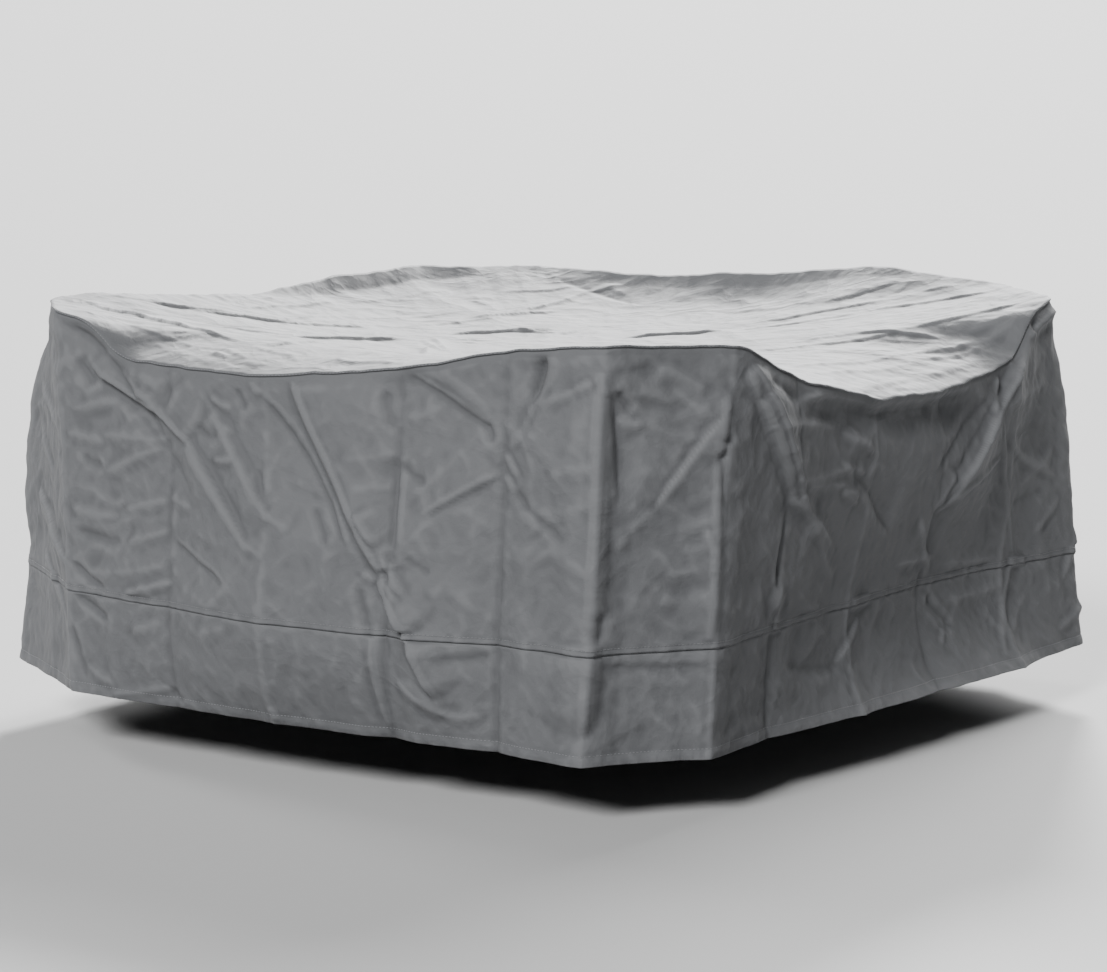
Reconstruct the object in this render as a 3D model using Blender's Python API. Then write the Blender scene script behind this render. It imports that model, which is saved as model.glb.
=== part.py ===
"""Patio furniture cover: a fitted cover of coated woven polyester for a round table set.

Three cut pieces: a round top panel, an upper skirt and a lower band with a turned-up hem.
The cover stands over the furniture, so its sides form eight flat stretches that flare a
little to the hem, and its top hangs as a shallow dish between four high corners.
Metres, +Z up. The origin is under the middle of the top panel.
"""

import bpy
import numpy as np

# ---- driving dimensions ----------------------------------------------------------------
CLOTH = 0.0015          # thickness of the coated cloth
LAP_GAP = 0.0005        # air between two laps of a seam
LAP_TOP = 0.014         # how far the top panel turns down over the skirt
LAP_BAND = 0.012        # how far the skirt laps over the lower band
SKIRT_INSET = 0.005     # the skirt's top edge lies this far under the seam's corner
BAND_HEIGHT = 0.252     # lower band, hem edge to its top edge under the skirt's lap
HEM_TURN = 0.025        # height of the turned-up hem
ROUND = 7.70            # length of the hem once round, along the cloth
DISH_FLOOR = 0.777      # middle of the top over the hem, which is the origin's height
ROLL_START = 0.62       # share of the way out at which the top starts to roll down
BLUR = 0.040            # half-width of the softening of every corner, along the cloth
FRONT_COLUMNS = 8       # columns between two packing creases on the front half
BACK_COLUMNS = 4        # and on the back half
SKIRT_ROWS = 8
BAND_ROWS = 3

# One row for each place round the cover where the outline changes. round is cloth metres
# along the hem from the left corner, seam is the corner between top and skirt, rim is the
# height that the dish climbs to there, climb how late it climbs, belly how far the wall
# stands out (or falls in) at the lower seam. Heights are over the hem.
SECTION_COLUMNS = (
    "round", "seam_x", "seam_y", "seam_z", "rim_z", "climb", "belly", "hem_x", "hem_y")
SECTIONS = (
    (0.000, -1.030, -0.695, 0.895, 0.900, 2.0, 0.00, -1.076, -0.788),
    (0.443, -0.800, -0.940, 0.905, 0.905, 2.0, 0.00, -0.688, -1.014),
    (0.560, -0.685, -0.948, 0.885, 0.900, 2.0, 0.01, -0.570, -1.030),
    (0.680, -0.570, -0.956, 0.797, 0.890, 2.0, 0.03, -0.450, -1.030),
    (1.057, -0.190, -0.985, 0.790, 0.880, 2.2, 0.07, -0.076, -1.036),
    (1.374, 0.160, -0.972, 0.815, 0.880, 2.2, 0.06, 0.238, -1.025),
    (1.560, 0.370, -0.957, 0.852, 0.890, 2.2, 0.04, 0.415, -1.020),
    (1.672, 0.500, -0.950, 0.880, 0.900, 2.2, 0.02, 0.529, -1.012),
    (1.910, 0.770, -0.935, 0.907, 0.907, 2.2, 0.00, 0.766, -1.024),
    (2.215, 0.957, -0.665, 0.893, 0.893, 2.2, 0.00, 0.953, -0.784),
    (2.340, 0.967, -0.560, 0.845, 0.860, 2.4, -0.01, 0.957, -0.660),
    (2.469, 0.975, -0.450, 0.800, 0.830, 2.4, -0.02, 0.960, -0.531),
    (2.800, 1.000, -0.140, 0.730, 0.800, 2.4, -0.07, 0.995, -0.210),
    (3.130, 1.003, 0.150, 0.720, 0.795, 2.4, -0.09, 1.025, 0.123),
    (3.471, 0.990, 0.440, 0.742, 0.820, 2.2, -0.08, 1.046, 0.462),
    (3.640, 0.981, 0.580, 0.775, 0.850, 2.0, -0.05, 1.040, 0.630),
    (3.740, 0.976, 0.665, 0.860, 0.880, 2.0, -0.02, 1.034, 0.730),
    (3.889, 0.970, 0.790, 0.892, 0.892, 2.0, 0.00, 1.036, 0.888),
    (4.280, 0.720, 1.000, 0.897, 0.897, 2.0, 0.00, 0.690, 1.060),
    (4.620, 0.360, 1.015, 0.928, 0.940, 3.0, 0.01, 0.370, 1.075),
    (4.980, 0.000, 1.025, 0.890, 0.900, 6.0, 0.03, 0.000, 1.085),
    (5.340, -0.370, 1.013, 0.868, 0.880, 6.0, 0.02, -0.350, 1.075),
    (5.680, -0.715, 1.000, 0.878, 0.880, 4.0, 0.00, -0.690, 1.050),
    (6.100, -0.960, 0.750, 0.885, 0.888, 3.5, 0.00, -1.050, 0.800),
    (6.450, -1.000, 0.430, 0.880, 0.890, 5.0, 0.01, -1.085, 0.450),
    (6.800, -1.020, 0.100, 0.850, 0.862, 4.0, 0.03, -1.090, 0.100),
    (7.180, -1.030, -0.240, 0.872, 0.880, 3.0, 0.02, -1.080, -0.280),
    (7.500, -1.030, -0.530, 0.900, 0.905, 2.4, 0.00, -1.075, -0.590),
)

# The creases that packing left: at, the place round the hem, lean, how much further round
# the crease starts at the top, and out, how far it stands out (ridge) or in (trough).
CREASE_COLUMNS = ("at", "lean", "out")
CREASES = (
    (0.000, 0.000, 0.006),
    (0.446, 0.010, 0.012),
    (0.775, 0.050, -0.010),
    (1.080, 0.040, 0.010),
    (1.400, 0.050, -0.016),
    (1.680, 0.015, -0.018),
    (1.915, 0.002, 0.016),
    (2.205, -0.010, 0.014),
    (2.455, 0.000, -0.012),
    (2.810, 0.010, 0.010),
    (3.150, 0.050, -0.010),
    (3.520, 0.060, 0.014),
    (3.889, 0.000, 0.006),
    (4.280, 0.000, 0.012),
    (4.600, 0.020, -0.010),
    (4.910, 0.020, 0.010),
    (5.200, 0.010, -0.010),
    (5.440, 0.010, 0.010),
    (5.680, 0.000, 0.012),
    (6.100, 0.000, 0.012),
    (6.400, 0.010, -0.010),
    (6.700, 0.010, 0.010),
    (7.030, 0.020, -0.010),
    (7.360, 0.010, 0.010),
)
CREASE_SPREAD = 0.075   # half-width of a packing crease
FOLD_FADE = 0.2         # share of a fold's length over which each of its ends fades

# Soft folds that run aslant over the skirt, from one place to another: round and height
# over the hem at each end, how far the fold stands out, and its half-width.
FOLD_COLUMNS = ("from_round", "from_height", "to_round", "to_height", "out", "spread")
WALL_FOLDS = (
    (0.00, 0.78, 0.02, 0.30, 0.026, 0.24),
    (3.92, 0.78, 3.92, 0.24, 0.012, 0.20),
    (0.47, 0.87, 0.80, 0.62, -0.022, 0.07),
    (0.69, 0.75, 1.06, 0.41, 0.026, 0.07),
    (1.18, 0.79, 1.44, 0.36, 0.026, 0.07),
    (1.44, 0.34, 1.56, 0.08, 0.012, 0.08),
    (1.12, 0.74, 1.32, 0.44, -0.014, 0.07),
    (1.42, 0.82, 1.66, 0.70, -0.012, 0.07),
    (1.77, 0.88, 1.73, 0.70, -0.014, 0.06),
    (2.25, 0.84, 2.52, 0.50, 0.024, 0.08),
    (3.74, 0.82, 3.24, 0.45, 0.024, 0.08),
    (2.50, 0.72, 3.40, 0.66, -0.030, 0.14),
    (2.48, 0.52, 2.46, 0.30, 0.014, 0.07),
    (5.75, 0.84, 5.30, 0.50, 0.020, 0.09),
    (4.40, 0.86, 4.90, 0.46, 0.018, 0.09),
    (6.20, 0.84, 6.60, 0.44, 0.020, 0.09),
    (7.50, 0.86, 7.10, 0.50, 0.018, 0.09),
)

# Taut wrinkles of the top, from one place to another in plan.
WRINKLE_COLUMNS = ("from_x", "from_y", "to_x", "to_y", "out", "spread")
TOP_WRINKLES = (
    (-0.88, -0.74, -0.25, -0.80, -0.012, 0.05),
    (-0.86, -0.62, 0.30, -0.55, -0.010, 0.06),
    (-0.80, -0.50, 0.10, -0.20, 0.008, 0.07),
    (0.84, 0.80, 0.20, 0.30, 0.010, 0.06),
    (0.88, 0.66, 0.66, -0.30, 0.012, 0.06),
    (0.90, 0.50, 0.86, -0.20, -0.010, 0.05),
    (-0.76, 0.86, -0.10, 0.10, 0.010, 0.06),
    (0.70, -0.84, 0.10, -0.30, 0.008, 0.06),
)


# ---- the form --------------------------------------------------------------------------
def table(columns, rows):
    """The rows as one numpy array for each named column."""
    return dict(zip(columns, np.array(rows).T))


SECTION = table(SECTION_COLUMNS, SECTIONS)
CREASE = table(CREASE_COLUMNS, CREASES)
WALL_FOLD = table(FOLD_COLUMNS, WALL_FOLDS)
TOP_WRINKLE = table(WRINKLE_COLUMNS, TOP_WRINKLES)


def round_distance(a, b):
    """Signed distance from b to a along the closed hem."""
    return (a - b + ROUND / 2) % ROUND - ROUND / 2


def section(name, around):
    """A section column read at places round the cover.

    Straight between the rows, then averaged over a short window, so that each corner is
    a soft bend and not a point.
    """
    steps = np.linspace(-BLUR, BLUR, 7)
    nearby = np.asarray(around)[..., None] + steps
    return np.interp(nearby, SECTION["round"], SECTION[name], period=ROUND).mean(axis=-1)


def ridge(distance, spread):
    """1 on a fold's line, falling to 0 at its half-width: a rounded tent."""
    return np.clip(1 - np.abs(distance) / spread, 0, 1) ** 1.3


def along_and_aside(x, y, ax, ay, bx, by):
    """How far along the line from a to b a point lies (0 to 1), and how far beside it."""
    length = np.hypot(bx - ax, by - ay)
    along = ((x - ax) * (bx - ax) + (y - ay) * (by - ay)) / length**2
    aside = ((x - ax) * (by - ay) - (y - ay) * (bx - ax)) / length
    return along, aside


def fold_height(x, y, folds):
    """Sum of the folds of a table: each a tent across its line that fades at both ends."""
    total = np.zeros(np.broadcast(x, y).shape)
    for from_x, from_y, to_x, to_y, out, spread in zip(*folds.values()):
        along, aside = along_and_aside(x, y, from_x, from_y, to_x, to_y)
        fade = np.clip(np.minimum(along, 1 - along) / FOLD_FADE + 0.5, 0, 1)
        total += out * fade * ridge(aside, spread)
    return total


def crease_height(around, height, seam_z):
    """Packing creases: tents along lines that lean a little, strongest near the hem."""
    total = np.zeros(np.broadcast(around, height).shape)
    up = height / seam_z
    for at, lean, out in zip(CREASE["at"], CREASE["lean"], CREASE["out"]):
        line = at + lean * np.clip(up * 2, 0, 1)
        total += out * (1 - 0.6 * up) * ridge(round_distance(around, line), CREASE_SPREAD)
    return total


def outward(x, y):
    """Unit vectors in plan that point out of a closed loop, one for each column."""
    step_x = np.roll(x, -1, axis=0) - np.roll(x, 1, axis=0)
    step_y = np.roll(y, -1, axis=0) - np.roll(y, 1, axis=0)
    length = np.hypot(step_x, step_y)
    return step_y / length, -step_x / length


def wall(around, height):
    """Plan position of the skirt's cloth at places round the cover and heights.

    A straight line from the seam to the hem, pushed out or in by the belly, which is
    widest near the lower seam, and by the creases and folds. Over the lap of the lower
    seam a slanting fold runs straight down, so that both cloths lie parallel there.
    """
    seam_z = section("seam_z", around)
    down = np.clip(1 - height / seam_z, 0, 1)
    x = section("seam_x", around) * (1 - down) + section("hem_x", around) * down
    y = section("seam_y", around) * (1 - down) + section("hem_y", around) * down
    out = section("belly", around) * np.sin(np.pi * down**1.9)
    out = out + crease_height(around, height, seam_z)
    lap_middle = BAND_HEIGHT - LAP_BAND / 2
    straight = np.where(np.abs(height - lap_middle) < LAP_BAND, lap_middle, height)
    nearest = sum(
        fold_height(around + turn, straight, WALL_FOLD)
        for turn in (-ROUND, 0, ROUND))
    out = out + nearest * np.clip((seam_z - LAP_TOP - height) / 0.08, 0, 1)
    out_x, out_y = outward(section("hem_x", around), section("hem_y", around))
    return x + out_x * out, y + out_y * out


def wall_outside(around, height, out):
    """The wall's plan position moved straight out of the cover."""
    x, y = wall(around, height)
    out_x, out_y = outward(x, y)
    return x + out_x * out, y + out_y * out


def top_height(around, share, x, y):
    """Height of the top over the hem at a share of the way from the middle to the seam.

    The dish climbs as a power of the share towards the rim, and rolls down to the seam
    over the last part, as a square. Wrinkles come on top and fade at the seam.
    """
    rim_z, seam_z = section("rim_z", around), section("seam_z", around)
    climb = section("climb", around)
    roll = np.clip((share - ROLL_START) / (1 - ROLL_START), 0, 1)
    height = DISH_FLOOR + (rim_z - DISH_FLOOR) * share**climb - (rim_z - seam_z) * roll**2
    wrinkles = fold_height(x, y, TOP_WRINKLE)
    return height + wrinkles * np.clip((1 - share) / 0.08, 0, 1)


def column_places():
    """Places round the hem of the mesh columns: a few equal steps from crease to crease."""
    starts = CREASE["at"]
    ends = np.append(starts[1:], ROUND)
    places = []
    for start, end in zip(starts, ends):
        columns = FRONT_COLUMNS if start < ROUND / 2 else BACK_COLUMNS
        places.extend(np.linspace(start, end, columns, endpoint=False))
    return np.array(places)


# ---- meshes ----------------------------------------------------------------------------
def cloth_material(name, colour):
    """Matt coated cloth in one colour."""
    material = bpy.data.materials.new(name)
    material.use_nodes = True
    shader = material.node_tree.nodes["Principled BSDF"]
    shader.inputs["Base Color"].default_value = (*colour, 1)
    shader.inputs["Roughness"].default_value = 0.62
    shader.inputs["Metallic"].default_value = 0.0
    return material


def add_piece(name, points, faces, material):
    """One object from points over the hem, set down so that the origin is under the top."""
    mesh = bpy.data.meshes.new(name)
    points = np.array(points) - (0, 0, DISH_FLOOR)
    mesh.from_pydata(points.tolist(), [], faces)
    mesh.shade_smooth()
    mesh.materials.append(material)
    piece = bpy.data.objects.new(name, mesh)
    bpy.context.scene.collection.objects.link(piece)
    return piece


def ring_faces(columns, rises):
    """Triangles of a tube of points stored row after row, each row once round the cover.

    rises says for each row whether the next row lies higher. Both sides of the cloth are
    cut along the same diagonals, so that they stay parallel where the cloth twists.
    """
    faces = []
    for row, rising in enumerate(rises):
        below = (row + 1) % len(rises)
        for column in range(columns):
            beside = (column + 1) % columns
            a, b = row * columns + column, below * columns + column
            c, d = below * columns + beside, row * columns + beside
            faces.extend([(a, b, d), (b, c, d)] if rising else [(a, b, c), (a, c, d)])
    return faces


def carry_round(name, places, outline, material):
    """A closed section of cloth carried once round the cover.

    outline lists the section's corners in order, as heights over the hem, one for each
    column, and how far out of the cover's wall each corner lies.
    """
    points = []
    for heights, out in outline:
        points.append(np.column_stack((*wall_outside(places, heights, out), heights)))
    middle = [heights.mean() for heights, out in outline]
    rises = [after > here for here, after in zip(middle, middle[1:] + middle[:1])]
    return add_piece(name, np.concatenate(points), ring_faces(len(places), rises), material)


def lower_band(places, material):
    """The band from the lower seam to the hem, whose last 25 mm are cloth turned up."""
    face = CLOTH / 2
    turned = -face - CLOTH
    level = np.ones(len(places))
    outer = [BAND_HEIGHT, *np.linspace(BAND_HEIGHT - LAP_BAND, HEM_TURN, BAND_ROWS), 0]
    inner = outer[-2::-1]
    outline = [(level * height, face) for height in outer]
    outline += [(level * 0, turned), (level * (HEM_TURN - CLOTH), turned)]
    outline += [(level * height, -face) for height in inner]
    return carry_round("lower_band", places, outline, material)


def upper_skirt(places, material):
    """The wall from under the top's turned edge to its own lap over the lower band."""
    middle = CLOTH + LAP_GAP
    top = section("seam_z", places) - SKIRT_INSET
    under_lap = section("seam_z", places) - LAP_TOP
    level = np.ones(len(places))
    rows = [top]
    rows += [under_lap * (1 - s) + BAND_HEIGHT * s for s in np.linspace(0, 1, SKIRT_ROWS)]
    rows += [level * (BAND_HEIGHT - LAP_BAND)]
    outline = [(row, middle + CLOTH / 2) for row in rows]
    outline += [(row, middle - CLOTH / 2) for row in reversed(rows)]
    return carry_round("upper_skirt", places, outline, material)


def net_ring(size, index):
    """Column and row, in a square net, of the points of one square ring, once round."""
    lo, hi = index, size - index
    if lo == hi:
        return [(lo, lo)]
    run = range(lo, hi)
    back = range(hi, lo, -1)
    return ([(i, lo) for i in run] + [(hi, j) for j in run]
            + [(i, hi) for i in back] + [(lo, j) for j in back])


def top_panel(places, material):
    """The round top, with its edge turned down over the skirt.

    A square net of cells, bent so that its outermost ring is the seam: each smaller ring
    of the net lies at a smaller share of the way from the middle to the seam. Each cell is
    cut along the diagonal that runs from the middle outwards.
    """
    size = len(places) // 4
    net = np.zeros((size + 1, size + 1, 3))
    number = np.arange((size + 1) ** 2).reshape(size + 1, size + 1)
    seam_z = section("seam_z", places)
    seam_x, seam_y = wall_outside(places, seam_z, 2 * (CLOTH + LAP_GAP))
    turned_x, turned_y = wall_outside(places, seam_z - LAP_TOP, 2 * (CLOTH + LAP_GAP))
    for index in range(size // 2 + 1):
        ring = net_ring(size, index)
        share = 1 - index / (size / 2)
        inside = np.linspace(0, len(places), len(ring), endpoint=False)
        here = np.interp(inside, np.arange(len(places) + 1), np.append(places, ROUND))
        x = np.interp(here, places, seam_x, period=ROUND) * share
        y = np.interp(here, places, seam_y, period=ROUND) * share
        for (i, j), point in zip(ring, zip(x, y, top_height(here, share, x, y))):
            net[i, j] = point
    faces = []
    for i in range(size):
        for j in range(size):
            a, b = number[i, j], number[i + 1, j]
            c, d = number[i + 1, j + 1], number[i, j + 1]
            radial = (i < size // 2) == (j < size // 2)
            faces.extend([(a, b, c), (a, c, d)] if radial else [(a, b, d), (b, c, d)])
    edge = [int(number[i, j]) for i, j in net_ring(size, 0)]
    turned = np.column_stack((turned_x, turned_y, seam_z - LAP_TOP))
    first = (size + 1) ** 2
    for k in range(len(places)):
        after = (k + 1) % len(places)
        faces.append((edge[k], first + k, first + after))
        faces.append((edge[k], first + after, edge[after]))
    points = np.concatenate((net.reshape(-1, 3), turned))
    faces = [tuple(int(n) for n in face) for face in faces]
    piece = add_piece("top_panel", points, faces, material)
    thickness = piece.modifiers.new("cloth thickness", "SOLIDIFY")
    thickness.thickness = CLOTH
    thickness.offset = 0
    thickness.use_even_offset = True
    return piece


# ---- the cover -------------------------------------------------------------------------
for old in list(bpy.data.objects):
    bpy.data.objects.remove(old)

columns = column_places()
top_panel(columns, cloth_material("grey coated polyester top", (0.14, 0.145, 0.15)))
upper_skirt(columns, cloth_material("grey coated polyester", (0.14, 0.145, 0.15)))
lower_band(columns, cloth_material("grey coated polyester band", (0.14, 0.145, 0.15)))
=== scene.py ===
"""Patio furniture cover, dressed: the cloth of the top, the skirt and the lower band.

The cover is sewn from three cut pieces of coated woven polyester and hangs as a hollow
shell. Each section below makes one piece, in the order in which they are sewn together,
then the stitching, the studio and the camera. Metres, +Z up, with the origin under the
middle of the top. A place round the cover is counted along the hem from the left corner,
anticlockwise from above, and heights are over the hem.
"""

import math

import bpy
import numpy as np
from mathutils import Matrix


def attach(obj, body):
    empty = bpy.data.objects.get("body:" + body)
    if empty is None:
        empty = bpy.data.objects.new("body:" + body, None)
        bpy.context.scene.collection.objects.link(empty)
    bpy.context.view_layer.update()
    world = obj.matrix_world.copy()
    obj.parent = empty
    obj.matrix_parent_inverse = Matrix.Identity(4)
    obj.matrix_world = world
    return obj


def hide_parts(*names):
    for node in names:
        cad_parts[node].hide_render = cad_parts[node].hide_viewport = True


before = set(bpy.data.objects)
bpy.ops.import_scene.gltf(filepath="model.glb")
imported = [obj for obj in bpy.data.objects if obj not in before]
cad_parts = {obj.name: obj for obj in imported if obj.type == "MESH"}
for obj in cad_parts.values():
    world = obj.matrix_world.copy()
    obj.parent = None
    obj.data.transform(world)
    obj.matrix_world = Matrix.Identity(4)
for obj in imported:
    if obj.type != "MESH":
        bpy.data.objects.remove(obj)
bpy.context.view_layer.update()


# ---- Upper skirt -----------------------------------------------------------------------
# The wall of the cover: one long strip of coated woven polyester closed into a loop. Its top
# edge is sewn under the turned-down edge of the top, its folded lower edge laps over the
# band. Packing left upright creases in it, and the four high corners pull the long folds.
ROUND = 7.70             # hem once round, measured along the cloth
TOP_OVER_HEM = 0.777     # the origin's height over the hem
BLUR = 0.040             # half-width of the softening of every corner of the form
BELLY_LOW = 1.9          # power that brings the wall's widest place down to the lower seam
LAP_TOP = 0.005          # the top's turned edge hangs this far down over the skirt
LOWER_SEAM = 0.240       # height of the skirt's folded lower edge
LAP_BAND = 0.012         # how far the band reaches up behind that edge
SEAM_STITCH = 0.013      # the stitches' height over that edge
THREAD_PULL = 0.0008     # how deep they pull the cloth in
LIP_PRESS = 0.0015       # how far the top's lip presses the skirt in
FACE = 0.00275           # outer face of the skirt, out of the wall's own surface


def table(columns, rows):
    """The rows as one numpy array for each named column."""
    return dict(zip(columns, np.array(rows).T))


# The form at places round the cover: the top's seam in plan and its height, the rim's height,
# the power by which the top climbs to the rim, the wall's belly, and the hem in plan.
SECTION = table(("round", "seam_x", "seam_y", "seam_z", "rim_z", "climb", "belly", "hem_x",
                 "hem_y"), (
    (0.000, -1.030, -0.695, 0.895, 0.900, 2.0, 0.00, -1.076, -0.788),
    (0.443, -0.800, -0.940, 0.905, 0.905, 2.0, 0.00, -0.688, -1.014),
    (0.560, -0.685, -0.948, 0.885, 0.900, 2.0, 0.01, -0.570, -1.030),
    (0.680, -0.570, -0.956, 0.797, 0.890, 2.0, 0.03, -0.450, -1.030),
    (1.057, -0.190, -0.985, 0.790, 0.880, 2.2, 0.07, -0.076, -1.036),
    (1.374, 0.160, -0.972, 0.815, 0.880, 2.2, 0.06, 0.238, -1.025),
    (1.560, 0.370, -0.957, 0.852, 0.890, 2.2, 0.04, 0.415, -1.020),
    (1.672, 0.500, -0.950, 0.880, 0.900, 2.2, 0.02, 0.529, -1.012),
    (1.910, 0.770, -0.935, 0.907, 0.907, 2.2, 0.00, 0.766, -1.024),
    (2.215, 0.957, -0.665, 0.893, 0.893, 2.2, 0.00, 0.953, -0.784),
    (2.340, 0.967, -0.560, 0.845, 0.860, 2.4, -0.01, 0.957, -0.660),
    (2.469, 0.975, -0.450, 0.800, 0.830, 2.4, -0.02, 0.960, -0.531),
    (2.800, 1.000, -0.140, 0.730, 0.800, 2.4, -0.07, 0.995, -0.210),
    (3.130, 1.003, 0.150, 0.720, 0.795, 2.4, -0.09, 1.025, 0.123),
    (3.471, 0.990, 0.440, 0.742, 0.820, 2.2, -0.08, 1.046, 0.462),
    (3.640, 0.981, 0.580, 0.775, 0.850, 2.0, -0.05, 1.040, 0.630),
    (3.740, 0.976, 0.665, 0.860, 0.880, 2.0, -0.02, 1.034, 0.730),
    (3.889, 0.970, 0.790, 0.892, 0.892, 2.0, 0.00, 1.036, 0.888),
    (4.280, 0.720, 1.000, 0.897, 0.897, 2.0, 0.00, 0.690, 1.060),
    (4.620, 0.360, 1.015, 0.928, 0.940, 3.0, 0.01, 0.370, 1.075),
    (4.980, 0.000, 1.025, 0.890, 0.900, 6.0, 0.03, 0.000, 1.085),
    (5.340, -0.370, 1.013, 0.868, 0.880, 6.0, 0.02, -0.350, 1.075),
    (5.680, -0.715, 1.000, 0.878, 0.880, 4.0, 0.00, -0.690, 1.050),
    (6.100, -0.960, 0.750, 0.885, 0.888, 3.5, 0.00, -1.050, 0.800),
    (6.450, -1.000, 0.430, 0.880, 0.890, 5.0, 0.01, -1.085, 0.450),
    (6.800, -1.020, 0.100, 0.850, 0.862, 4.0, 0.03, -1.090, 0.100),
    (7.180, -1.030, -0.240, 0.872, 0.880, 3.0, 0.02, -1.080, -0.280),
    (7.500, -1.030, -0.530, 0.900, 0.905, 2.4, 0.00, -1.075, -0.590),
))

# Upright packing creases: place at the hem, how much further round the top end lies, and
# how far the crease stands out (ridge) or in (trough).
CREASE = table(("at", "lean", "out"), (
    (0.000, 0.000, 0.006), (0.446, 0.010, 0.012), (0.775, 0.050, -0.010),
    (1.080, 0.040, 0.010), (1.400, 0.050, -0.016), (1.680, 0.015, -0.018),
    (1.915, 0.002, 0.016), (2.205, -0.010, 0.014), (2.455, 0.000, -0.012),
    (2.810, 0.010, 0.010), (3.150, 0.050, -0.010), (3.520, 0.060, 0.014),
    (3.889, 0.000, 0.006), (4.280, 0.000, 0.012), (4.600, 0.020, -0.010),
    (4.910, 0.020, 0.010), (5.200, 0.010, -0.010), (5.440, 0.010, 0.010),
    (5.680, 0.000, 0.012), (6.100, 0.000, 0.012), (6.400, 0.010, -0.010),
    (6.700, 0.010, 0.010), (7.030, 0.020, -0.010), (7.360, 0.010, 0.010),
))

# How slack the cloth hangs at places round the cover, from 0 to 1.
SLACK = table(("round", "much"), (
    (0.00, 0.5), (0.44, 0.8), (0.80, 0.7), (0.95, 0.3), (1.40, 0.2), (1.75, 0.3), (2.00, 0.5),
    (2.20, 0.7), (2.35, 0.3), (3.00, 0.4), (3.40, 0.3), (3.90, 0.4), (5.00, 0.6), (6.00, 0.5),
    (7.00, 0.7),
))


def fold_table(rows):
    """Rows of folds in metres, from rows in millimetres; the last column stays a share."""
    return np.array(rows) / ((1000,) * 8 + (1,))


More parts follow.
